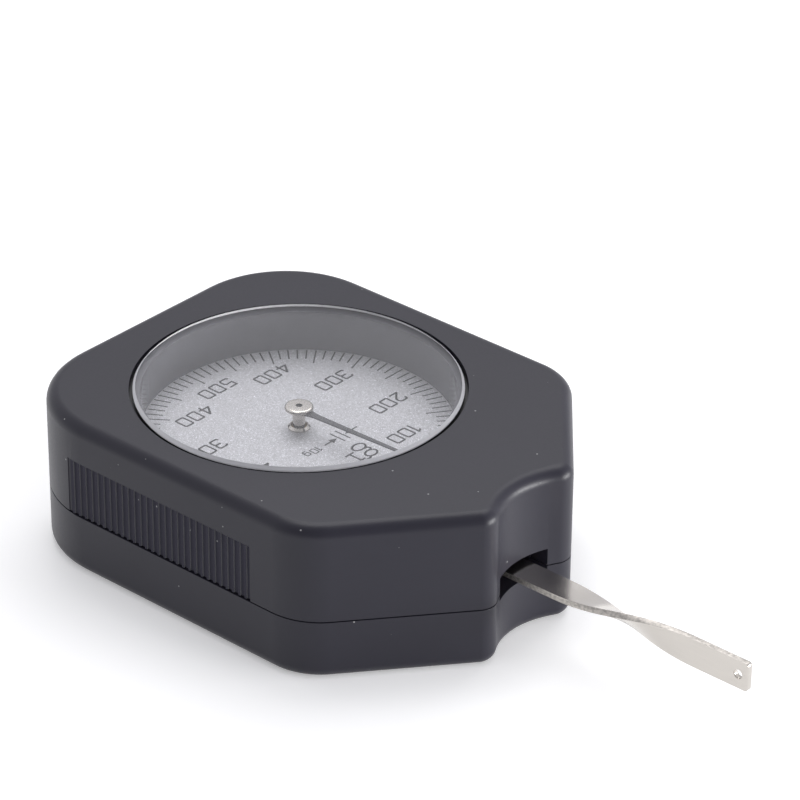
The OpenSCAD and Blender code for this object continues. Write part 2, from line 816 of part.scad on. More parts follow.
module arm_strip() {
    n = len(arm_sections);
    points = [for (s = arm_sections, c = [[1, 1], [-1, 1], [-1, -1], [1, -1]])
        let (u = c.x * s[2], v = c.y * arm_t / 2)
        [s[0], u * cos(s[1]) - v * sin(s[1]), arm_z + u * sin(s[1]) + v * cos(s[1])]];
    sides = [for (i = [0:n - 2], k = [0:3])
        let (a = 4 * i + k, b = 4 * i + (k + 1) % 4)
        each [[a, b + 4, b], [a, a + 4, b + 4]]];
    polyhedron(points, concat([[0, 1, 2, 3]], sides, [[4 * n - 1, 4 * n - 2, 4 * n - 3, 4 * n - 4]]));
}

module measuring_arm() {
    color(nickel)
        difference() {
            union() {
                arm_strip();
                translate([pivot_x, -arm_w / 2, arm_low])
                    cube([twist_x0 - pivot_x, arm_w, arm_t]);
                translate([pivot_x, 0, arm_low])
                    cylinder(r = arm_hub_r, h = arm_t);
            }
            pivot_bores();
            translate([tip_x - eye_back, -arm_t, arm_z])
                rotate([-90, 0, 0])
                    cylinder(r = eye_r, h = 2 * arm_t);
        }
}

module arm_rivets() {
    color(steel)
        translate([pivot_x, 0, 0])
            each_at(rivet_at)
                translate([0, 0, hub_low])
                    union() {
                        cylinder(r = rivet_r, h = sector_high - hub_low);
                        translate([0, 0, sector_high - hub_low])
                            cylinder(r = rivet_r + 0.4, h = 0.4);
                    }
}

module measuring_spring() {
    color([0.42, 0.46, 0.55])
        translate([leaf_end, -leaf_t / 2, leaf_low])
            cube([leaf_root - leaf_end - 0.05, leaf_t, leaf_h]);
}

module spring_pins() {
    color(steel)
        each_at(spring_pin_at)
            translate([0, 0, base_z])
                cylinder(r = leaf_pin_r, h = leaf_low + leaf_h - base_z);
}

module stop_pins() {
    color(steel)
        each_at(stop_at)
            translate([0, 0, base_z])
                cylinder(r = stop_r, h = sector_high - base_z);
}

front_shell();
rear_cover();
case_screws();
crystal();
dial_ring();
dial_plate();
dial_bush();
pointer_needle();
pointer_hub();
pointer_arbor();
pinion();
hairspring_collet();
hairspring();
hairspring_stud();
top_plate();
base_plate();
plate_pillars();
pillar_screws_upper();
pillar_screws_lower();
movement_screws();
arbor_bush_upper();
arbor_bush_lower();
arm_shaft();
arm_bush_upper();
arm_bush_lower();
arm_hub();
sector_gear();
measuring_arm();
arm_rivets();
measuring_spring();
spring_pins();
stop_pins();
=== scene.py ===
"""Dial tension gauge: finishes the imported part, prints its dial and sets the studio stage."""

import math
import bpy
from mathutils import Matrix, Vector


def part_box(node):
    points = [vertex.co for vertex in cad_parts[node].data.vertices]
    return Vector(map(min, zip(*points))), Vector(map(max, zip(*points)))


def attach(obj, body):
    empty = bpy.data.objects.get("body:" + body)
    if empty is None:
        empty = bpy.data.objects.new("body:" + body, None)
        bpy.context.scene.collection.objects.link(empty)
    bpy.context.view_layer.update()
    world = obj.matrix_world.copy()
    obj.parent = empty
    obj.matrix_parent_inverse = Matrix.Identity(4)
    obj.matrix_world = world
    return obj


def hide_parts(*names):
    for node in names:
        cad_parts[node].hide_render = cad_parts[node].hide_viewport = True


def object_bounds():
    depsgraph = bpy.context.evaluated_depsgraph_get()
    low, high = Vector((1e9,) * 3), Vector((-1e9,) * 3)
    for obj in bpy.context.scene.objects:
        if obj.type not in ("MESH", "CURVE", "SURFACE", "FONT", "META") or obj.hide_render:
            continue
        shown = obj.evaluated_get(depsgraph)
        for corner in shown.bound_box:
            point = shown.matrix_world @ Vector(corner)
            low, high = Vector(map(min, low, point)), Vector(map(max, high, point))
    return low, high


bl_info = {
    "name": "Dial Tension Gauge",
    "version": (1, 0, 0),
    "blender": (4, 5, 0),
    "location": "View3D > Sidebar > Gauge",
    "description": "Finishes the pieces of a dial tension gauge and lights them in a small studio",
    "category": "Object",
}

import bmesh
import bpy
from bpy.props import FloatProperty, FloatVectorProperty, IntProperty, PointerProperty
from mathutils import Matrix, Vector

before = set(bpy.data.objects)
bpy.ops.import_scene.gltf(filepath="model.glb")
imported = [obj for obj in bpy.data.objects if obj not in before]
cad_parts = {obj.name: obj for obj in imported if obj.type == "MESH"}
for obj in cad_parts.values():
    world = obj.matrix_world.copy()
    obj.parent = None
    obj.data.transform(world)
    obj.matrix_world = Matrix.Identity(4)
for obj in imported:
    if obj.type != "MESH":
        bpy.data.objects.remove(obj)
CAD_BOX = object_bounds()
MM = 0.001

# Points closer than this are one point
JOIN_DISTANCE = 0.001 * MM
# Edges that fold more than these stay sharp, get an edge break, or stay sharp on the spun crystal
SHARP_FOLD = math.radians(35)
BREAK_FOLD = math.radians(40)
CRYSTAL_FOLD = math.radians(15)


def linear(hex_colour):
    """Linear RGBA of an sRGB hex colour."""
    parts = [int(hex_colour[i:i + 2], 16) / 255 for i in (1, 3, 5)]
    return tuple(c / 12.92 if c <= 0.04045 else ((c + 0.055) / 1.055) ** 2.4 for c in parts) + (1.0,)


def colour(name, description, hex_colour):
    """Colour property with its default given as an sRGB hex value."""
    return FloatVectorProperty(name=name, description=description, subtype="COLOR", size=4,
                               min=0, max=1, default=linear(hex_colour))


def length(name, description, millimetres):
    """Length property with its default given in millimetres."""
    return FloatProperty(name=name, description=description, unit="LENGTH", precision=5,
                         default=millimetres * MM)


def position(name, description, millimetres):
    """Place property with its default given in millimetres."""
    return FloatVectorProperty(name=name, description=description, subtype="TRANSLATION", unit="LENGTH",
                               precision=5, default=[value * MM for value in millimetres])


def angle(name, description, degrees):
    """Angle property with its default given in degrees."""
    return FloatProperty(name=name, description=description, subtype="ANGLE", default=math.radians(degrees))


class GaugeCaseSettings(bpy.types.PropertyGroup):
    """Looks of the moulded case."""
    plastic: colour("Plastic", "Black of the moulded case", "#23222c")
    dust: colour("Dust", "Colour of the dust specks on the case", "#9a9a9a")
    # Painted highlight: paler plastic on the grip ribs' flanks that face along the case, where they would
    # catch light
    painted_highlight: colour("Flank highlight", "Plastic on the rubbed flanks of the grips' ribs", "#66666a")
    edge_break: length("Edge break", "Small round on the moulded edges", 0.08)
    grain: length("Grain", "Width of the moulded grain", 0.3)
    dust_spacing: length("Dust spacing", "Distance between dust specks", 3.6)
    joint: length("Joint", "Height of the joint between the shells", 9.7)
    grip_length: length("Grip length", "Length of a grooved patch", 35.4)
    grip_height: length("Grip height", "Height of the grooves above the joint", 9.0)
    grip_depth: length("Grip depth", "Bottom of the grooves below the case's side", 0.37)
    # Painted fill light: the plastic's colour in the recessed grips is multiplied by this, lightening the
    # grooves where shade falls
    grip_painted_light: FloatProperty(name="Grip shade", description="Tone of the grooves beside the case",
                              default=1.55)
    grip_matt: FloatProperty(name="Grip matt", description="Roughness added in the grooves", default=0.4)


class GaugeDialSettings(bpy.types.PropertyGroup):
    """Looks and print of the dial and its well."""
    paint: colour("Paint", "Silver paint of the dial", "#bababf")
    ink: colour("Ink", "Printed ticks and numbers", "#1c1c1f")
    ring: colour("Ring", "Spacer ring round the dial", "#58585e")
    needle: colour("Needle", "Lacquer of the needle", "#3d3d43")
    cut_edge: colour("Cut edge", "Milky cut edge of the crystal", "#c2c2c6")
    # Painted light: the crystal's cut edge and neck are lighter where they are seen from within the crystal
    inside_painted_light: colour("Cut inside", "Cut edge of the crystal seen through it", "#ececee")
    # Painted shade: near-black on the crystal's neck and seat from outside, where shade falls in the gap
    # round the crystal
    rim_painted_shade: colour("Rim black", "Blacked rim of the crystal from outside", "#161618")
    # Painted light: grey of the crystal's seat where it is seen through the crystal
    seat: colour("Seat", "Seat of the crystal seen through it", "#6c6c72")
    flake: length("Flake", "Width of the flakes in the silver paint", 0.12)
    ink_height: length("Ink height", "Thickness of the print", 0.012)
    tick_outer: length("Tick radius", "Dial centre to the outer end of the ticks", 23.05)
    tick_short: length("Short tick", "Length of a short tick", 2.65)
    tick_long: length("Long tick", "Length of every fifth tick", 3.95)
    tick_width: length("Tick width", "Width of a tick", 0.24)
    digit_height: length("Digit height", "Height of the numbers", 2.3)
    digit_width: length("Digit width", "Width of one digit", 1.52)
    digit_pitch: length("Digit pitch", "Distance from digit to digit", 2.32)
    stroke: length("Stroke", "Width of the printed strokes", 0.34)
    legend_stroke: length("Legend stroke", "Width of the legend's lines", 0.28)
    value_stroke: length("Value stroke", "Width of the strokes of the division's value", 0.2)
    flange_height: length("Flange height", "Thickness of the crystal's flange", 0.92)
    flange_reach: length("Flange reach", "How far the crystal's flange stands out", 1.35)
    seat_width: length("Seat width", "Width of the crystal's blacked seat", 2.4)
    seat_gap: length("Seat gap", "Air between the crystal's seat and the spacer ring", 0.03)
    bevel_width: length("Bevel width", "Width of the crystal's cut bevel", 0.4)
    shade: length("Shade", "How far below the case's face the crystal's cut edge begins", 0.22)
    needle_reach: length("Needle reach", "Pointer axis to the needle's tip", 22.5)
    needle_root: length("Needle root", "Width of the needle beside the hub", 1.0)
    needle_tip: length("Needle tip", "Width of the needle at its tip", 0.37)
    stem: length("Stem", "Radius of the hole for the hub's stem", 0.96)
    needle_flare: length("Needle flare", "Pointer axis to the end of the needle's flare", 4.5)
    needle_rest: angle("Needle rest", "Needle's angle from the arm's line at rest", 2.3)
    ticks: IntProperty(name="Ticks", description="Ticks round the dial", default=100, min=20)
    long_every: IntProperty(name="Long every", description="Every how many ticks one is long",
                            default=5, min=2)


class GaugeMetalSettings(bpy.types.PropertyGroup):
    """Looks of the metal pieces."""
    nickel: colour("Nickel", "Bright nickel plate of the arm and the hub", "#d4cfc8")
    steel: colour("Steel", "Screws, pins and shafts", "#a9aaac")
    oxide: colour("Oxide", "Blackened steel of the pointer's arbor", "#2e2e30")
    brass: colour("Brass", "Turned brass of the movement", "#c2a05a")
    blued: colour("Blued steel", "Tempered spring steel", "#3d4a66")
    aluminium: colour("Aluminium", "Sheet of the movement plates", "#b9babc")
    edge_break: length("Edge break", "Small round on the metal edges", 0.07)


class GaugeStageSettings(bpy.types.PropertyGroup):
    """Camera, floor and light."""
    floor: colour("Floor", "Pale studio floor", "#f6f6f6")
    floor_reach: length("Floor reach", "Middle of the floor to its edge", 2000)
    floor_gap: length("Floor gap", "Air between the floor and the rear cover", 0.02)
    floor_lift: FloatProperty(name="Floor lift", description="Light added to the floor as it is seen",
                              default=0.27)
    azimuth: angle("Azimuth", "Camera turn round the part", 40.97)
    elevation: angle("Elevation", "Camera height angle", 30.08)
    roll: angle("Roll", "Camera roll", 0.52)
    distance: length("Distance", "Camera to its target", 572.72)
    target: position("Target", "Point at the middle of the picture", (17.98, 1.83, 28.66))
    lens: FloatProperty(name="Lens", description="Focal length", unit="CAMERA", default=179.9)
    sky: colour("Sky", "Tint of the even light", "#e3e3e8")
    world: FloatProperty(name="World light", description="Level of the even light all round", default=0.77)
    dark_side: FloatProperty(name="Dark side", description="Level of the room behind the camera",
                             default=0.42)
    aim: position("Lamp aim", "Point that the lamps are turned to", (20, 0, 10))
    key: FloatProperty(name="Key light", description="Power of the softbox behind", unit="POWER",
                       default=1.88)
    key_width: length("Key width", "Width and height of the softbox behind", 550)
    key_spot: position("Key place", "Middle of the softbox behind", (-170, 350, 670))
    top: FloatProperty(name="Top light", description="Power of the small softbox overhead", unit="POWER",
                       default=0.5)
    top_width: length("Top width", "Width and height of the small softbox overhead", 220)
    top_spot: position("Top place", "Middle of the small softbox overhead", (-140, 30, 700))
    side: FloatProperty(name="Side light", description="Power of the card beside the arm", unit="POWER",
                        default=4.6)
    side_width: length("Side width", "Width of the card beside the arm", 500)
    side_height: length("Side height", "Height of the card beside the arm", 140)
    side_spot: position("Side place", "Middle of the card beside the arm", (600, 280, 75))


def add_node(tree, kind, settings=None, links=None):
    """Adds a shader or geometry node. Settings name sockets or attributes. Links name sockets, and give
    the socket that feeds them or the node whose first output does."""
    node = tree.nodes.new(kind)
    for key, value in (settings or {}).items():
        if isinstance(key, int) or key in node.inputs:
            node.inputs[key].default_value = value
        else:
            setattr(node, key, value)
    for key, source in (links or {}).items():
        tree.links.new(source.outputs[0] if isinstance(source, bpy.types.Node) else source, node.inputs[key])
    return node


def new_material(name):
    """Empty node material; returns it, its tree and the outputs of its texture coordinates."""
    material = bpy.data.materials.new(name)
    material.use_nodes = True
    tree = material.node_tree
    tree.nodes.clear()
    return material, tree, add_node(tree, "ShaderNodeTexCoord").outputs


def pattern_scale(size):
    """Texture scale that gives features of a real size in metres on Object coordinates."""
    return 1 / size


def mottle(tree, place, size, low, high, detail=2.0):
    """Level that wanders between two values over features of a real size."""
    noise = add_node(tree, "ShaderNodeTexNoise", {"Scale": pattern_scale(size), "Detail": detail},
                     {"Vector": place})
    return add_node(tree, "ShaderNodeMapRange", {"To Min": low, "To Max": high}, {"Value": noise})


def grip_mask(tree, case, place):
    """One on the finger grips' recessed patches, zero everywhere else."""
    # The plain side itself stays out of the mask by this much
    skin = 0.05 * MM
    depth_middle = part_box("front_shell")[1].y - skin - case.grip_depth / 2
    axes = add_node(tree, "ShaderNodeSeparateXYZ", None, {0: place}).outputs
    outward = add_node(tree, "ShaderNodeMath", {"operation": "ABSOLUTE"}, {0: axes["Y"]})
    spans = ((axes["X"], 0.0, case.grip_length), (outward, depth_middle, case.grip_depth),
             (axes["Z"], case.joint + case.grip_height / 2, case.grip_height))
    along, inward, up = [add_node(tree, "ShaderNodeMath", {"operation": "COMPARE", 1: middle, 2: span / 2},
                                  {0: value})
                         for value, middle, span in spans]
    patch = add_node(tree, "ShaderNodeMath", {"operation": "MULTIPLY"}, {0: along, 1: up})
    return add_node(tree, "ShaderNodeMath", {"operation": "MULTIPLY"}, {0: patch, 1: inward})


def flank_highlight_mask(tree, grip, facing):
    """One on the flanks of the grips' ribs, which face along the case and get a painted highlight; zero
    everywhere else.
    """
    turn = add_node(tree, "ShaderNodeSeparateXYZ", None, {0: facing}).outputs["X"]
    aside = add_node(tree, "ShaderNodeMath", {"operation": "ABSOLUTE"}, {0: turn})
    flank = add_node(tree, "ShaderNodeMapRange", {"From Min": 0.3, "From Max": 0.8}, {"Value": aside})
    return add_node(tree, "ShaderNodeMath", {"operation": "MULTIPLY"}, {0: grip, 1: flank})


def black_abs(case):
    """ABS, injection moulded in a lightly spark-eroded tool: a soft satin with a fine even grain and a little
    dust on it. The grips are matt in their grooves and lightened there as painted fill light, and their ribs'
    flanks carry a painted highlight in a paler plastic tone."""
    material, tree, coord = new_material("black_abs_satin")
    place = coord["Object"]
    grip = grip_mask(tree, case, place)
    cloud = mottle(tree, place, 9 * MM, 0.9, 1.1, detail=3.0)
    # Painted fill light: lightens the plastic colour in the recessed grips, where shade falls in the grooves
    groove = add_node(tree, "ShaderNodeMapRange", {"To Min": 1.0, "To Max": case.grip_painted_light}, {"Value": grip})
    level = add_node(tree, "ShaderNodeMath", {"operation": "MULTIPLY"}, {0: cloud, 1: groove})
    tone = add_node(tree, "ShaderNodeVectorMath", {"operation": "SCALE", 0: case.plastic[:3]},
                    {"Scale": level})
    # Painted highlight: the tone is mixed towards a paler grey on the rib flanks
    painted_highlight = add_node(tree, "ShaderNodeMix", {"data_type": "RGBA", "B": case.painted_highlight},
                      {"Factor": flank_highlight_mask(tree, grip, coord["Normal"]), "A": tone})
    speck = add_node(tree, "ShaderNodeTexVoronoi",
                     {"Scale": pattern_scale(case.dust_spacing), "Randomness": 1.0}, {"Vector": place})
    on_speck = add_node(tree, "ShaderNodeMapRange", {"From Min": 0.045, "From Max": 0.025},
                        {"Value": speck.outputs["Distance"]})
    dusted = add_node(tree, "ShaderNodeMix", {"data_type": "RGBA", "B": case.dust},
                      {"Factor": on_speck, "A": painted_highlight.outputs["Result"]})
    grain = add_node(tree, "ShaderNodeTexNoise", {"Scale": pattern_scale(case.grain), "Detail": 2.0},
                     {"Vector": place})
    gloss = add_node(tree, "ShaderNodeMapRange", {"To Min": 0.33, "To Max": 0.45}, {"Value": grain})
    rough = add_node(tree, "ShaderNodeMath", {"operation": "MULTIPLY_ADD", 1: case.grip_matt},
                     {0: grip, 2: gloss})
    bump = add_node(tree, "ShaderNodeBump", {"Strength": 0.12, "Distance": 0.02 * MM}, {"Height": grain})
    shader = add_node(tree, "ShaderNodeBsdfPrincipled", {"IOR": 1.53, "Specular IOR Level": 0.34},
                      {"Base Color": dusted.outputs["Result"], "Roughness": rough, "Normal": bump})
    add_node(tree, "ShaderNodeOutputMaterial", None, {"Surface": shader})
    return material


def black_ring(dial):
    """ABS ring, polished: a smooth grey-black wall that mirrors the dial faintly."""
    material, tree, coord = new_material("black_abs_polished")
    wave = 3 * MM
    shade = mottle(tree, coord["Object"], wave, 0.92, 1.08)
    gloss = mottle(tree, coord["Object"], wave, 0.02, 0.04)
    tone = add_node(tree, "ShaderNodeVectorMath", {"operation": "SCALE", 0: dial.ring[:3]}, {"Scale": shade})
    shader = add_node(tree, "ShaderNodeBsdfPrincipled", {"IOR": 1.53},
                      {"Base Color": tone, "Roughness": gloss})
    add_node(tree, "ShaderNodeOutputMaterial", None, {"Surface": shader})
    return material


def clear_acrylic():
    """Acrylic, moulded clear: it bends the view of the dial and mirrors the room on its face; shadow
    rays pass, so that the dial below is lit."""
    material, tree, coord = new_material("clear_acrylic")
    haze = mottle(tree, coord["Object"], 6 * MM, 0.0, 0.03)
    solid = add_node(tree, "ShaderNodeBsdfPrincipled",
                     {"IOR": 1.49, "Transmission Weight": 1.0, "Base Color": (1.0, 1.0, 1.0, 1.0)},
                     {"Roughness": haze})
    passing = add_node(tree, "ShaderNodeBsdfTransparent", {"Color": (0.92, 0.92, 0.92, 1.0)})
    path = add_node(tree, "ShaderNodeLightPath").outputs
    shader = add_node(tree, "ShaderNodeMixShader", None,
                      {0: path["Is Shadow Ray"], 1: solid, 2: passing})
    add_node(tree, "ShaderNodeOutputMaterial", None, {"Surface": shader})
    return material


def rim_acrylic_painted_light(name, outside, inside, glow):
    """Acrylic rim where it was cut instead of polished, or where a near-black painted shade stands in for the
    shade in the narrow gap round the crystal: one tone from outside, another, lighter as painted light, where
    it is seen through the crystal, with some light coming through where it is only cut."""
    material, tree, coord = new_material(name)
    # Painted light and shade: one tone on the outside face, another where the face is seen from within the
    # crystal
    within = add_node(tree, "ShaderNodeNewGeometry").outputs["Backfacing"]
    tone = add_node(tree, "ShaderNodeMix", {"data_type": "RGBA", "A": outside, "B": inside},
                    {"Factor": within}).outputs["Result"]
    gloss = mottle(tree, coord["Object"], 0.2 * MM, 0.35, 0.5)
    face = add_node(tree, "ShaderNodeBsdfPrincipled", {"IOR": 1.49}, {"Base Color": tone, "Roughness": gloss})
    through = add_node(tree, "ShaderNodeBsdfTranslucent", None, {"Color": tone})
    shader = add_node(tree, "ShaderNodeMixShader", {0: glow}, {1: face, 2: through})
    add_node(tree, "ShaderNodeOutputMaterial", None, {"Surface": shader})
    return material


def silver_paint(dial):
    """Aluminium-flake lacquer, sprayed on the dial: a pale silver whose flakes are painted lighter and darker
    at random, a few of them much brighter as painted glints. The flakes are drawn coarser than real ones so
    that they show."""
    material, tree, coord = new_material("silver_flake_lacquer")
    place = coord["Object"]
    flake = add_node(tree, "ShaderNodeTexVoronoi", {"Scale": pattern_scale(dial.flake)},
                     {"Vector": place}).outputs
    # Flakes lighter and darker at random; with the brightest few below, this paints the flakes' glints into
    # the colour
    glint = add_node(tree, "ShaderNodeMapRange", {"To Min": 0.64, "To Max": 1.33}, {"Value": flake["Color"]})
    spray = mottle(tree, place, 0.5 * MM, -0.04, 0.04, detail=3.0)
    level = add_node(tree, "ShaderNodeMath", {"operation": "ADD"}, {0: glint, 1: spray})
    chance = add_node(tree, "ShaderNodeSeparateColor", None, {0: flake["Color"]}).outputs["Green"]
    # Painted glints: a few flakes are painted up to half again as bright
    spark = add_node(tree, "ShaderNodeMapRange",
                     {"From Min": 0.93, "From Max": 1.0, "To Min": 1.0, "To Max": 1.5}, {"Value": chance})
    bright = add_node(tree, "ShaderNodeMath", {"operation": "MULTIPLY"}, {0: level, 1: spark})
    tone = add_node(tree, "ShaderNodeVectorMath", {"operation": "SCALE", 0: dial.paint[:3]},
                    {"Scale": bright})
    bump = add_node(tree, "ShaderNodeBump", {"Strength": 0.25, "Distance": 0.02 * MM},
                    {"Height": flake["Distance"]})
    shader = add_node(tree, "ShaderNodeBsdfPrincipled", {"Metallic": 0.35, "Roughness": 0.5},
                      {"Base Color": tone, "Normal": bump})
    add_node(tree, "ShaderNodeOutputMaterial", None, {"Surface": shader})
    return material


def flat_ink(name, tint, thin):
    """Pad-printed ink or sprayed lacquer: a matt near-black, a little thin in places."""
    material, tree, coord = new_material(name)
    cover = mottle(tree, coord["Object"], 0.6 * MM, 1 - thin, 1 + thin)
    tone = add_node(tree, "ShaderNodeVectorMath", {"operation": "SCALE", 0: tint[:3]}, {"Scale": cover})
    shader = add_node(tree, "ShaderNodeBsdfPrincipled", {"Roughness": 0.55}, {"Base Color": tone})
    add_node(tree, "ShaderNodeOutputMaterial", None, {"Surface": shader})
    return material


def turned_metal(name, tint, rough, streak):
    """Turned or drawn metal: even colour with fine tool lines and a few duller patches."""
    material, tree, coord = new_material(name)
    place = coord["Object"]
    patch = mottle(tree, place, 4 * MM, 0.88, 1.1)
    tone = add_node(tree, "ShaderNodeVectorMath", {"operation": "SCALE", 0: tint[:3]}, {"Scale": patch})
    lines = add_node(tree, "ShaderNodeTexNoise", {"Scale": pattern_scale(streak), "Detail": 3.0},
                     {"Vector": place})
    gloss = add_node(tree, "ShaderNodeMapRange", {"To Min": rough * 0.8, "To Max": rough * 1.25},
                     {"Value": lines})
    bump = add_node(tree, "ShaderNodeBump", {"Strength": 0.06, "Distance": 0.01 * MM}, {"Height": lines})
    shader = add_node(tree, "ShaderNodeBsdfPrincipled", {"Metallic": 1.0},
                      {"Base Color": tone, "Roughness": gloss, "Normal": bump})
    add_node(tree, "ShaderNodeOutputMaterial", None, {"Surface": shader})
    return material


def strip_edges(tree, coord, along, twist_start, twist_end):
    """One on the strip's narrow edges, zero on its faces, told apart by the strip's twist."""
    twist = add_node(tree, "ShaderNodeMapRange",
                     {"interpolation_type": "SMOOTHSTEP", "From Min": twist_start, "From Max": twist_end,
                      "To Min": 0.0, "To Max": -math.pi / 2}, {"Value": along})
    across_y = add_node(tree, "ShaderNodeMath", {"operation": "COSINE"}, {0: twist})
    across_z = add_node(tree, "ShaderNodeMath", {"operation": "SINE"}, {0: twist})
    across = add_node(tree, "ShaderNodeCombineXYZ", None, {"Y": across_y, "Z": across_z})
    facing = add_node(tree, "ShaderNodeVectorMath", {"operation": "DOT_PRODUCT"},
                      {0: coord["Normal"], 1: across}).outputs["Value"]
    off_face = add_node(tree, "ShaderNodeMath", {"operation": "ABSOLUTE"}, {0: facing})
    return add_node(tree, "ShaderNodeMapRange", {"From Min": 0.6, "From Max": 0.85}, {"Value": off_face})


def plated_strip(metal, twist_start, twist_end):
    """Steel strip, sheared and nickel plated: shiny rolled faces with faint lengthwise lines, painted
    brighter before the twist and darker after it as painted reflection, and rougher, speckled edges."""
    material, tree, coord = new_material("nickel_plated_steel_strip")
    place = coord["Object"]
    along = add_node(tree, "ShaderNodeSeparateXYZ", None, {0: place}).outputs["X"]
    edge = strip_edges(tree, coord, along, twist_start, twist_end)
    stretched = add_node(tree, "ShaderNodeMapping", {"Scale": (0.06, 1.0, 1.0)}, {"Vector": place})
    roll_line = 0.3 * MM
    face_shade = mottle(tree, stretched, roll_line, 0.92, 1.01, detail=3.0)
    face_gloss = mottle(tree, stretched, roll_line, 0.16, 0.23, detail=3.0)
    torn = add_node(tree, "ShaderNodeTexNoise", {"Scale": pattern_scale(0.45 * MM), "Detail": 4.0},
                    {"Vector": place})
    edge_shade = add_node(tree, "ShaderNodeMapRange",
                          {"From Min": 0.35, "From Max": 0.65, "To Min": 0.62, "To Max": 1.02},
                          {"Value": torn})
    shade = add_node(tree, "ShaderNodeMix", {"data_type": "FLOAT"},
                     {"Factor": edge, "A": face_shade, "B": edge_shade}).outputs["Result"]
    # Painted reflection: the plate is painted brighter before the twist and darker after it
    painted_light_along = add_node(tree, "ShaderNodeMapRange",
                       {"From Min": twist_start, "From Max": twist_end, "To Min": 1.1, "To Max": 0.93},
                       {"Value": along})
    level = add_node(tree, "ShaderNodeMath", {"operation": "MULTIPLY"}, {0: shade, 1: painted_light_along})
    tone = add_node(tree, "ShaderNodeVectorMath", {"operation": "SCALE", 0: metal.nickel[:3]},
                    {"Scale": level})
    gloss = add_node(tree, "ShaderNodeMix", {"data_type": "FLOAT", "B": 0.5},
                     {"Factor": edge, "A": face_gloss}).outputs["Result"]
    depth = add_node(tree, "ShaderNodeMapRange", {"To Min": 0.015, "To Max": 0.4}, {"Value": edge})
    bump = add_node(tree, "ShaderNodeBump", {"Distance": 0.04 * MM}, {"Height": torn, "Strength": depth})
    shader = add_node(tree, "ShaderNodeBsdfPrincipled", {"Metallic": 1.0},
                      {"Base Color": tone, "Roughness": gloss, "Normal": bump})
    add_node(tree, "ShaderNodeOutputMaterial", None, {"Surface": shader})
    return material


def shown_rays(tree):
    """One for what the eye sees, straight, mirrored or through something clear; zero for plain light."""
    path = add_node(tree, "ShaderNodeLightPath").outputs
    seen = add_node(tree, "ShaderNodeMath", {"operation": "MAXIMUM"},
                    {0: path["Is Camera Ray"], 1: path["Is Glossy Ray"]})
    return add_node(tree, "ShaderNodeMath", {"operation": "MAXIMUM"},
                    {0: seen, 1: path["Is Transmission Ray"]})


def studio_floor(stage):
    """Seamless paper: a matt, nearly white sheet with a very faint fibre."""
    material, tree, coord = new_material("white_paper_floor")
    fibre = mottle(tree, coord["Object"], 20 * MM, 0.99, 1.01)
    tone = add_node(tree, "ShaderNodeVectorMath", {"operation": "SCALE", 0: stage.floor[:3]},
                    {"Scale": fibre})
    matt = add_node(tree, "ShaderNodeBsdfDiffuse", None, {"Color": tone})
    lift = add_node(tree, "ShaderNodeMath", {"operation": "MULTIPLY", 1: stage.floor_lift},
                    {0: shown_rays(tree)})
    glow = add_node(tree, "ShaderNodeEmission", None, {"Strength": lift})
    shader = add_node(tree, "ShaderNodeAddShader", None, {0: matt, 1: glow})
    add_node(tree, "ShaderNodeOutputMaterial", None, {"Surface": shader})
    return material


def smooth_group():
    """Geometry node group that shades faces smooth and keeps sharply folded edges sharp."""
    name = "smooth_by_edge_angle"
    if name in bpy.data.node_groups:
        return bpy.data.node_groups[name]
    group = bpy.data.node_groups.new(name, "GeometryNodeTree")
    group.interface.new_socket("Geometry", in_out="INPUT", socket_type="NodeSocketGeometry")
    group.interface.new_socket("Geometry", in_out="OUTPUT", socket_type="NodeSocketGeometry")
    source = add_node(group, "NodeGroupInput")
    faces = add_node(group, "GeometryNodeSetShadeSmooth", {"domain": "FACE"}, {"Geometry": source})
    fold = add_node(group, "GeometryNodeInputMeshEdgeAngle")
    sharp = add_node(group, "FunctionNodeCompare", {"operation": "GREATER_THAN", 1: SHARP_FOLD},
                     {0: fold.outputs["Unsigned Angle"]})
    edges = add_node(group, "GeometryNodeSetShadeSmooth", {"domain": "EDGE", "Shade Smooth": False},
                     {"Geometry": faces, "Selection": sharp})
    add_node(group, "NodeGroupOutput", None, {0: edges})
    return group


def finish_piece(piece, material, edge_break=0.0):
    """Gives a piece its material, breaks its sharp edges and shades its rounds smooth."""
    piece.data.materials.clear()
    piece.data.materials.append(material)
    weld = piece.modifiers.new("join_triangles", "WELD")
    weld.merge_threshold = JOIN_DISTANCE
    if edge_break > 0:
        bevel = piece.modifiers.new("edge_break", "BEVEL")
        bevel.width = edge_break
        bevel.segments = 2
        bevel.limit_method = "ANGLE"
        bevel.angle_limit = BREAK_FOLD
        bevel.use_clamp_overlap = False
    smooth = piece.modifiers.new("smooth_rounds", "NODES")
    smooth.node_group = smooth_group()
    normals = piece.modifiers.new("even_shading", "WEIGHTED_NORMAL")
    normals.keep_sharp = True
    return piece


def new_piece(name, bm, material, body):
    """Turns a bmesh into a piece that rides on a body."""
    bmesh.ops.recalc_face_normals(bm, faces=bm.faces)
    mesh = bpy.data.meshes.new(name)
    bm.to_mesh(mesh)
    bm.free()
    piece = bpy.data.objects.new(name, mesh)
    bpy.context.scene.collection.objects.link(piece)
    mesh.materials.append(material)
    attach(piece, body)
    return piece


def oval(centre, radii):
    """Closed line of points round an oval."""
    steps = 16
    turns = [2 * math.pi * step / steps for step in range(steps + 1)]
    return [(centre[0] + radii[0] * math.cos(t), centre[1] + radii[1] * math.sin(t)) for t in turns]


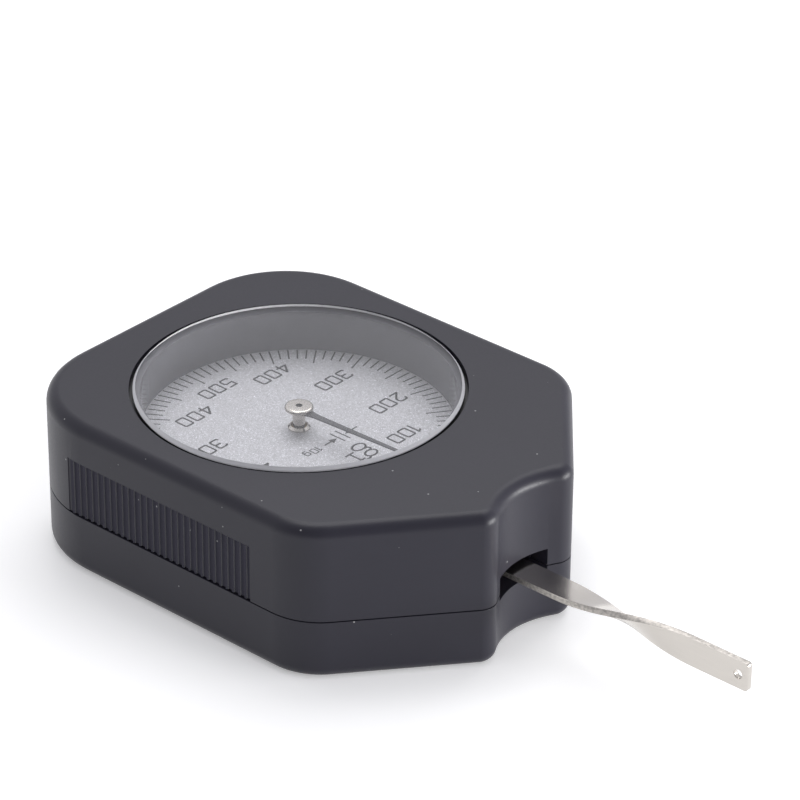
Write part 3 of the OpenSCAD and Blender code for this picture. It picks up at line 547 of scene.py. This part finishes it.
# Strokes of the printed characters, in a box one wide and one tall that stands on the base line. The
# small g of the legend has one storey and is kept under "q"; the unit's g has two.
STROKES = {
    "0": [[(0.12, 0), (0.88, 0), (1, 0.08), (1, 0.92), (0.88, 1), (0.12, 1), (0, 0.92), (0, 0.08),
           (0.12, 0)]],
    "1": [[(0.6, 0.84), (1, 1), (1, 0)]],
    "2": [[(0, 0.8), (0.08, 0.94), (0.22, 1), (0.78, 1), (0.95, 0.92), (1, 0.8), (1, 0.66), (0.92, 0.54),
           (0, 0), (1, 0)]],
    "3": [[(0, 0.9), (0.12, 1), (0.88, 1), (1, 0.9), (1, 0.62), (0.86, 0.53), (0.35, 0.53)],
          [(0.86, 0.53), (1, 0.44), (1, 0.1), (0.88, 0), (0.12, 0), (0, 0.1)]],
    "4": [[(0.72, 0), (0.72, 1), (-0.12, 0.26), (1.05, 0.26)]],
    "5": [[(0.95, 1), (0.06, 1), (0.06, 0.55), (0.85, 0.58), (1, 0.48), (1, 0.12), (0.86, 0), (0.12, 0),
           (0, 0.1)]],
    "q": [[(1, 0.72), (0.2, 0.72), (0, 0.58), (0, 0.22), (0.2, 0.08), (0.8, 0.08), (1, 0.22)],
          [(1, 0.72), (1, -0.12), (0.8, -0.26), (0.15, -0.26)]],
    "g": [oval((0.5, 0.67), (0.5, 0.33)), oval((0.52, -0.37), (0.56, 0.36)),
          [(0.22, 0.39), (0.04, 0.24), (0.12, 0.06), (0.5, -0.01)],
          [(0.82, 0.92), (1.08, 1.06), (1.3, 1.02)]],
    "f": [[(0.4, -0.17), (0.4, 1.03), (0.5, 1.28), (0.75, 1.35), (1.0, 1.25)], [(0.05, -0.17), (0.8, -0.17)],
          [(0.05, 0.83), (0.85, 0.83)]],
}


def stroke_mesh(lines, width, height):
    """Bmesh of flat printed strokes along lines of points, laid on the plane z = 0."""
    curve = bpy.data.curves.new("strokes", "CURVE")
    curve.dimensions = "3D"
    curve.bevel_depth = width / 2
    curve.bevel_resolution = 1
    curve.use_fill_caps = True
    for line in lines:
        for start, end in zip(line, line[1:]):
            start, end = Vector(start), Vector(end)
            overrun = (end - start).normalized() * width * 0.35
            spline = curve.splines.new("POLY")
            spline.points.add(1)
            spline.points[0].co = (*(start - overrun), 0, 1)
            spline.points[1].co = (*(end + overrun), 0, 1)
    holder = bpy.data.objects.new("strokes", curve)
    bpy.context.scene.collection.objects.link(holder)
    bpy.context.view_layer.update()
    mesh = bpy.data.meshes.new_from_object(holder.evaluated_get(bpy.context.evaluated_depsgraph_get()))
    bpy.data.objects.remove(holder)
    bpy.data.curves.remove(curve)
    bm = bmesh.new()
    bm.from_mesh(mesh)
    bpy.data.meshes.remove(mesh)
    bmesh.ops.scale(bm, verts=bm.verts, vec=(1, 1, height / (width / 2)))
    return bm


def thicken(bm, height):
    """Raises the flat faces of a bmesh into plates of a height."""
    top = bmesh.ops.extrude_face_region(bm, geom=bm.faces[:])["geom"]
    bmesh.ops.translate(bm, verts=[v for v in top if isinstance(v, bmesh.types.BMVert)], vec=(0, 0, height))


def written(text, corner, size, pitch):
    """Lines of points for a text on the dial, from the corner where its first character stands. It
    reads from the arm's end, so its right is -Y and its top is +X."""
    lines = []
    for place, letter in enumerate(text):
        left = corner[1] - place * pitch
        for stroke in STROKES[letter]:
            lines.append([(corner[0] + y * size[1], left - x * size[0]) for x, y in stroke])
    return lines


class GAUGE_OT_case(bpy.types.Operator):
    """Finishes the front shell, the rear cover and the case screws"""
    bl_idname = "gauge.case"
    bl_label = "Finish the Case"

    def execute(self, context):
        case = context.scene.gauge_case
        metal = context.scene.gauge_metal
        plastic = black_abs(case)
        finish_piece(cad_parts["front_shell"], plastic, case.edge_break)
        finish_piece(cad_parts["rear_cover"], plastic, case.edge_break)
        screw_steel = turned_metal("zinc_plated_screw_steel", metal.steel, rough=0.35, streak=0.4 * MM)
        finish_piece(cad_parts["case_screws"], screw_steel, metal.edge_break)
        return {"FINISHED"}


class GAUGE_OT_window(bpy.types.Operator):
    """Finishes the crystal and the spacer ring under it"""
    bl_idname = "gauge.window"
    bl_label = "Finish the Window"

    def crystal(self, dial):
        """Bmesh of the clear disc: its flange under the rim, its neck and its cut bevel."""
        low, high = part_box("crystal")
        low.z += dial.seat_gap
        flange_top = low.z + dial.flange_height
        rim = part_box("front_shell")[1].z
        neck = high.x - dial.flange_reach
        bevel = neck - dial.bevel_width
        seat = high.x - dial.seat_width
        outline = ((0, low.z), (seat, low.z), (high.x, low.z), (high.x, flange_top), (neck, flange_top),
                   (neck, rim - dial.shade), (neck, rim), (bevel, high.z), (0, high.z))
        bm = bmesh.new()
        points = [bm.verts.new((x, 0, z)) for x, z in outline]
        edges = [bm.edges.new(pair) for pair in zip(points, points[1:])]
        bmesh.ops.spin(bm, geom=points + edges, cent=(0, 0, 0), axis=(0, 0, 1), angle=2 * math.pi,
                       steps=144, use_merge=True)
        bmesh.ops.remove_doubles(bm, verts=bm.verts, dist=JOIN_DISTANCE)
        # The neck and seat carry painted shade from outside and painted light where seen through the crystal
        polished, cut_edge, painted_shade_neck, painted_shade_seat = range(4)
        hair = 0.01 * MM
        for face in bm.faces:
            middle = face.calc_center_median()
            if middle.z > high.z - hair or middle.xy.length < seat:
                face.material_index = polished
            elif middle.z > rim - dial.shade:
                face.material_index = cut_edge
            else:
                face.material_index = painted_shade_neck if middle.z > low.z + hair else painted_shade_seat
        return bm

    def execute(self, context):
        dial = context.scene.gauge_dial
        crystal = new_piece("window_crystal", self.crystal(dial), clear_acrylic(), "case")
        # Name, colour from outside, colour seen through the crystal and translucency of each rim; the neck
        # and seat carry painted shade outside, and all three carry painted light inside
        rims = (("cut_acrylic_edge", dial.cut_edge, dial.inside_painted_light, 0.5),
                ("acrylic_neck_painted_shade", dial.rim_painted_shade, dial.inside_painted_light, 0.0),
                ("acrylic_seat_painted_shade", dial.rim_painted_shade, dial.seat, 0.0))
        for name, outside, inside, glow in rims:
            crystal.data.materials.append(rim_acrylic_painted_light(name, outside, inside, glow))
        crystal.data.shade_smooth()
        crystal.data.set_sharp_from_angle(angle=CRYSTAL_FOLD)
        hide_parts("crystal")
        finish_piece(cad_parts["dial_ring"], black_ring(dial))
        return {"FINISHED"}


class GAUGE_OT_dial(bpy.types.Operator):
    """Paints the dial and prints its ticks, numbers and division legend"""
    bl_idname = "gauge.dial"
    bl_label = "Print the Dial"

    def ticks(self, dial, face):
        """Bmesh of one short and one long tick, each spun round the dial."""
        bm = bmesh.new()
        step = 2 * math.pi / dial.ticks
        for index in range(dial.long_every):
            reach = dial.tick_long if index == 0 else dial.tick_short
            tick = bmesh.ops.create_grid(bm, x_segments=1, y_segments=1, size=0.5)["verts"]
            bmesh.ops.scale(bm, verts=tick, vec=(reach, dial.tick_width, 1))
            bmesh.ops.translate(bm, verts=tick, vec=(dial.tick_outer - reach / 2, 0, face))
            bmesh.ops.rotate(bm, verts=tick, cent=(0, 0, 0), matrix=Matrix.Rotation(index * step, 3, "Z"))
        copies = dial.ticks // dial.long_every
        sweep = 2 * math.pi / copies
        bmesh.ops.spin(bm, geom=bm.verts[:] + bm.edges[:] + bm.faces[:], cent=(0, 0, 0), axis=(0, 0, 1),
                       angle=sweep * (copies - 1), steps=copies - 1, use_duplicate=True)
        thicken(bm, dial.ink_height)
        return bm

    def numbers(self, dial):
        """Lines of points of the numbers round the dial, each placed by its middle."""
        size = (dial.digit_width, dial.digit_height)
        # Text and middle of each number, in millimetres from the dial's centre
        places = [("100", 12.75, 9.35), ("100", 12.75, -8.55), ("400", -13.5, 8.9), ("400", -13.5, -7.9),
                  ("500", -16.7, 0.2)]
        places += [("200", 5.05, 14.1), ("200", 4.72, -13.72), ("300", -5.5, 13.7), ("300", -5.5, -13.7)]
        lines = []
        for text, x, y in places:
            left = y * MM + dial.digit_pitch + dial.digit_width / 2
            lines += written(text, (x * MM - dial.digit_height / 2, left), size, dial.digit_pitch)
        return lines

    def unit(self):
        """Lines of points of the unit, which stands between the two lowest numbers."""
        corner = (11.15 * MM, 2.7 * MM)
        size = (2.1 * MM, 2.3 * MM)
        pitch = 2.75 * MM
        return written("gf", corner, size, pitch)

    def legend(self):
        """Lines of points of the division legend: two ticks and the tails of its arrows."""
        foot, head = 4.74 * MM, 7.58 * MM
        lines = [[(foot, y * MM), (head, y * MM)] for y in (1.6, 2.7)]
        # Height of each tail on the dial, then where it starts and ends, in millimetres
        tails = ((6.3, 0.25, -1.32), (6.2, 4.0, 5.7))
        lines += [[(x * MM, start * MM), (x * MM, end * MM)] for x, start, end in tails]
        return lines

    def division(self):
        """Lines of points that say what one division is, beside the legend's arrow."""
        corner = (5.65 * MM, -1.95 * MM)
        size = (0.8 * MM, 1.25 * MM)
        pitch = 1.25 * MM
        return written("10q", corner, size, pitch)

    def arrow_heads(self, dial, face):
        """Bmesh of the legend's two arrow heads, as thin plates of ink."""
        bm = bmesh.new()
        radius, stretch = 0.7 * MM, 1.2
        line_x = 6.3 * MM
        for tip, side in ((1.3, 1), (3.05, -1)):
            head = bmesh.ops.create_circle(bm, cap_ends=True, radius=radius, segments=3)["verts"]
            bmesh.ops.scale(bm, verts=head, vec=(1.0, stretch, 1.0))
            if side < 0:
                bmesh.ops.rotate(bm, verts=head, cent=(0, 0, 0), matrix=Matrix.Rotation(math.pi, 3, "Z"))
            bmesh.ops.translate(bm, verts=head, vec=(line_x, tip * MM - side * radius * stretch, face))
        thicken(bm, dial.ink_height)
        return bm

    def execute(self, context):
        dial = context.scene.gauge_dial
        metal = context.scene.gauge_metal
        ink = flat_ink("black_pad_print_ink", dial.ink, thin=0.3)
        finish_piece(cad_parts["dial_plate"], silver_paint(dial))
        finish_piece(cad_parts["dial_bush"],
                     turned_metal("turned_nickel_bush", metal.nickel, rough=0.12, streak=0.2 * MM))
        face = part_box("dial_plate")[1].z
        new_piece("dial_ticks", self.ticks(dial, face), ink, "case")
        new_piece("legend_arrow_heads", self.arrow_heads(dial, face), ink, "case")
        prints = (("dial_numbers", self.numbers(dial), dial.stroke), ("dial_unit", self.unit(), dial.stroke),
                  ("division_legend", self.legend(), dial.legend_stroke),
                  ("division_value", self.division(), dial.value_stroke))
        for name, lines, width in prints:
            bm = stroke_mesh(lines, width, dial.ink_height)
            bmesh.ops.translate(bm, verts=bm.verts, vec=(0, 0, face))
            new_piece(name, bm, ink, "case")
        return {"FINISHED"}


class GAUGE_OT_pointer(bpy.types.Operator):
    """Finishes the needle, its hub and the arbor that carries them"""
    bl_idname = "gauge.pointer"
    bl_label = "Finish the Pointer"

    def outline(self, dial, eye):
        """Points round the needle: its taper, the flare into the eye and the eye's round back."""
        flare_steps, back_steps = 8, 12
        leave = math.radians(50)
        root = Vector((eye * math.cos(leave), eye * math.sin(leave)))
        edge = [(dial.needle_reach, dial.needle_tip / 2)]
        for step in range(flare_steps, -1, -1):
            left = 1 - step / flare_steps
            along = dial.needle_flare + (root.x - dial.needle_flare) * left
            swell = (root.y - dial.needle_root / 2) * left ** 3
            edge.append((along, dial.needle_root / 2 + swell))
        turns = [leave + (math.pi - leave) * step / back_steps for step in range(1, back_steps + 1)]
        edge += [(eye * math.cos(turn), eye * math.sin(turn)) for turn in turns]
        return edge + [(x, -y) for x, y in reversed(edge[:-1])]

    def needle(self, dial):
        """Bmesh of the pressed needle with the hole for the hub's stem, turned to where it rests."""
        low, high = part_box("pointer_needle")
        bm = bmesh.new()
        points = [bm.verts.new((x, y, low.z)) for x, y in self.outline(dial, -low.x)]
        for pair in zip(points, points[1:] + points[:1]):
            bm.edges.new(pair)
        hole = bmesh.ops.create_circle(bm, radius=dial.stem, segments=24)["verts"]
        bmesh.ops.translate(bm, verts=hole, vec=(0, 0, low.z))
        bmesh.ops.triangle_fill(bm, use_beauty=True, edges=bm.edges[:])
        thicken(bm, high.z - low.z)
        bmesh.ops.rotate(bm, verts=bm.verts, cent=(0, 0, 0), matrix=Matrix.Rotation(dial.needle_rest, 3, "Z"))
        return bm

    def execute(self, context):
        dial = context.scene.gauge_dial
        metal = context.scene.gauge_metal
        lacquer = flat_ink("black_needle_lacquer", dial.needle, thin=0.08)
        needle = new_piece("lacquered_needle", self.needle(dial), lacquer, "pointer")
        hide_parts("pointer_needle")
        bright = turned_metal("turned_nickel_hub", metal.nickel, rough=0.12, streak=0.15 * MM)
        finish_piece(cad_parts["pointer_hub"], bright)
        finish_piece(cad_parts["pointer_arbor"],
                     turned_metal("oxide_black_arbor_steel", metal.oxide, rough=0.4, streak=0.2 * MM))
        return {"FINISHED"}


class GAUGE_OT_arm(bpy.types.Operator):
    """Finishes the twisted measuring arm"""
    bl_idname = "gauge.arm"
    bl_label = "Finish the Measuring Arm"

    twist_start: length("Twist start", "Pointer axis to the start of the quarter twist", 50.0)
    twist_end: length("Twist end", "Pointer axis to the end of the quarter twist", 74.0)

    def execute(self, context):
        metal = context.scene.gauge_metal
        strip = plated_strip(metal, self.twist_start, self.twist_end)
        finish_piece(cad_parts["measuring_arm"], strip, metal.edge_break)
        return {"FINISHED"}


class GAUGE_OT_movement(bpy.types.Operator):
    """Finishes the movement inside the case: plates, pillars, gears, springs, pins and screws"""
    bl_idname = "gauge.movement"
    bl_label = "Finish the Movement"

    def execute(self, context):
        metal = context.scene.gauge_metal
        brass = turned_metal("turned_brass", metal.brass, rough=0.3, streak=0.2 * MM)
        steel = turned_metal("bright_drawn_steel", metal.steel, rough=0.28, streak=0.3 * MM)
        sheet = turned_metal("aluminium_sheet", metal.aluminium, rough=0.4, streak=0.5 * MM)
        spring = turned_metal("blued_spring_steel", metal.blued, rough=0.3, streak=0.25 * MM)
        groups = (
            (brass, ("pinion", "hairspring_collet", "hairspring_stud", "plate_pillars", "arbor_bush_upper",
                     "arbor_bush_lower", "arm_bush_upper", "arm_bush_lower", "arm_hub", "sector_gear")),
            (steel, ("pillar_screws_upper", "pillar_screws_lower", "movement_screws", "arm_shaft",
                     "arm_rivets", "spring_pins", "stop_pins")),
            (sheet, ("top_plate", "base_plate")),
            (spring, ("hairspring", "measuring_spring")),
        )
        for material, nodes in groups:
            for node in nodes:
                finish_piece(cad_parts[node], material)
        return {"FINISHED"}


class GAUGE_OT_stage(bpy.types.Operator):
    """Lays the floor, sets the lamps and the even light, and places the camera"""
    bl_idname = "gauge.stage"
    bl_label = "Set the Stage"

    def floor(self, stage):
        """Large square of pale paper under the rear cover."""
        bm = bmesh.new()
        bmesh.ops.create_grid(bm, x_segments=1, y_segments=1, size=stage.floor_reach)
        bmesh.ops.translate(bm, verts=bm.verts, vec=(0, 0, CAD_BOX[0][2] - stage.floor_gap))
        mesh = bpy.data.meshes.new("studio_floor")
        bm.to_mesh(mesh)
        bm.free()
        paper = bpy.data.objects.new("studio_floor", mesh)
        bpy.context.scene.collection.objects.link(paper)
        mesh.materials.append(studio_floor(stage))

    def view_back(self, stage):
        """Direction from the target to the camera."""
        a, e = stage.azimuth, stage.elevation
        return Vector((math.sin(a) * math.cos(e), -math.cos(a) * math.cos(e), math.sin(e)))

    def world(self, stage):
        """Even white light from all round; mirrored in the part, the room is dim behind the camera."""
        world = bpy.data.worlds.new("white_studio")
        world.use_nodes = True
        tree = world.node_tree
        tree.nodes.clear()
        around = add_node(tree, "ShaderNodeTexCoord").outputs["Generated"]
        toward = add_node(tree, "ShaderNodeVectorMath",
                          {"operation": "DOT_PRODUCT", 1: self.view_back(stage)},
                          {0: around}).outputs["Value"]
        room = add_node(tree, "ShaderNodeMapRange",
                        {"interpolation_type": "SMOOTHSTEP", "From Min": 0.35, "From Max": 0.9,
                         "To Min": 1.0, "To Max": stage.dark_side}, {"Value": toward})
        level = add_node(tree, "ShaderNodeMapRange", {"To Min": stage.world},
                         {"Value": shown_rays(tree), "To Max": room})
        light = add_node(tree, "ShaderNodeBackground", {"Color": stage.sky}, {"Strength": level})
        add_node(tree, "ShaderNodeOutputWorld", None, {"Surface": light})
        bpy.context.scene.world = world

    def lamp(self, name, power, size, place, aim):
        """Softbox of a width and a height at a place, turned to a point."""
        light = bpy.data.lights.new(name, "AREA")
        light.energy = power
        light.shape = "RECTANGLE"
        light.size, light.size_y = size
        lamp = bpy.data.objects.new(name, light)
        bpy.context.scene.collection.objects.link(lamp)
        lamp.location = place
        lamp.rotation_euler = (Vector(aim) - Vector(place)).to_track_quat("-Z", "Y").to_euler()

    def camera(self, stage):
        """Camera that looks from the photograph's side at the target, with its small roll."""
        a, r = stage.azimuth, stage.roll
        back = self.view_back(stage)
        level = Vector((math.cos(a), math.sin(a), 0))
        rise = back.cross(level)
        right = math.cos(r) * level + math.sin(r) * rise
        up = back.cross(right)
        lens = bpy.data.cameras.new("product_camera")
        lens.lens = stage.lens
        lens.sensor_width = 36.0
        lens.clip_start = 0.01
        lens.clip_end = 20.0
        camera = bpy.data.objects.new("product_camera", lens)
        bpy.context.scene.collection.objects.link(camera)
        place = Matrix((right, up, back)).transposed().to_4x4()
        place.translation = Vector(stage.target) + back * stage.distance
        camera.matrix_world = place
        bpy.context.scene.camera = camera

    def execute(self, context):
        stage = context.scene.gauge_stage
        self.floor(stage)
        self.world(stage)
        lamps = (("back_softbox", stage.key, (stage.key_width, stage.key_width), stage.key_spot),
                 ("overhead_softbox", stage.top, (stage.top_width, stage.top_width), stage.top_spot),
                 ("side_card", stage.side, (stage.side_width, stage.side_height), stage.side_spot))
        for name, power, size, place in lamps:
            self.lamp(name, power, size, place, stage.aim)
        self.camera(stage)
        context.scene.view_settings.view_transform = "Standard"
        return {"FINISHED"}


STEPS = (GAUGE_OT_case, GAUGE_OT_window, GAUGE_OT_dial, GAUGE_OT_pointer, GAUGE_OT_arm, GAUGE_OT_movement,
         GAUGE_OT_stage)


class GAUGE_PT_panel(bpy.types.Panel):
    """Sidebar panel with the steps in order"""
    bl_label = "Dial Tension Gauge"
    bl_idname = "GAUGE_PT_panel"
    bl_space_type = "VIEW_3D"
    bl_region_type = "UI"
    bl_category = "Gauge"

    def draw(self, context):
        for step in STEPS:
            self.layout.operator(step.bl_idname)


SETTINGS = {
    "gauge_case": GaugeCaseSettings,
    "gauge_dial": GaugeDialSettings,
    "gauge_metal": GaugeMetalSettings,
    "gauge_stage": GaugeStageSettings,
}


def register():
    for name, group in SETTINGS.items():
        bpy.utils.register_class(group)
        setattr(bpy.types.Scene, name, PointerProperty(type=group))
    for step in STEPS:
        bpy.utils.register_class(step)
    bpy.utils.register_class(GAUGE_PT_panel)


def unregister():
    bpy.utils.unregister_class(GAUGE_PT_panel)
    for step in reversed(STEPS):
        bpy.utils.unregister_class(step)
    for name, group in reversed(SETTINGS.items()):
        delattr(bpy.types.Scene, name)
        bpy.utils.unregister_class(group)


def main():
    register()
    bpy.ops.gauge.case()
    bpy.ops.gauge.window()
    bpy.ops.gauge.dial()
    bpy.ops.gauge.pointer()
    bpy.ops.gauge.arm()
    bpy.ops.gauge.movement()
    bpy.ops.gauge.stage()


if __name__ == "__main__":
    main()
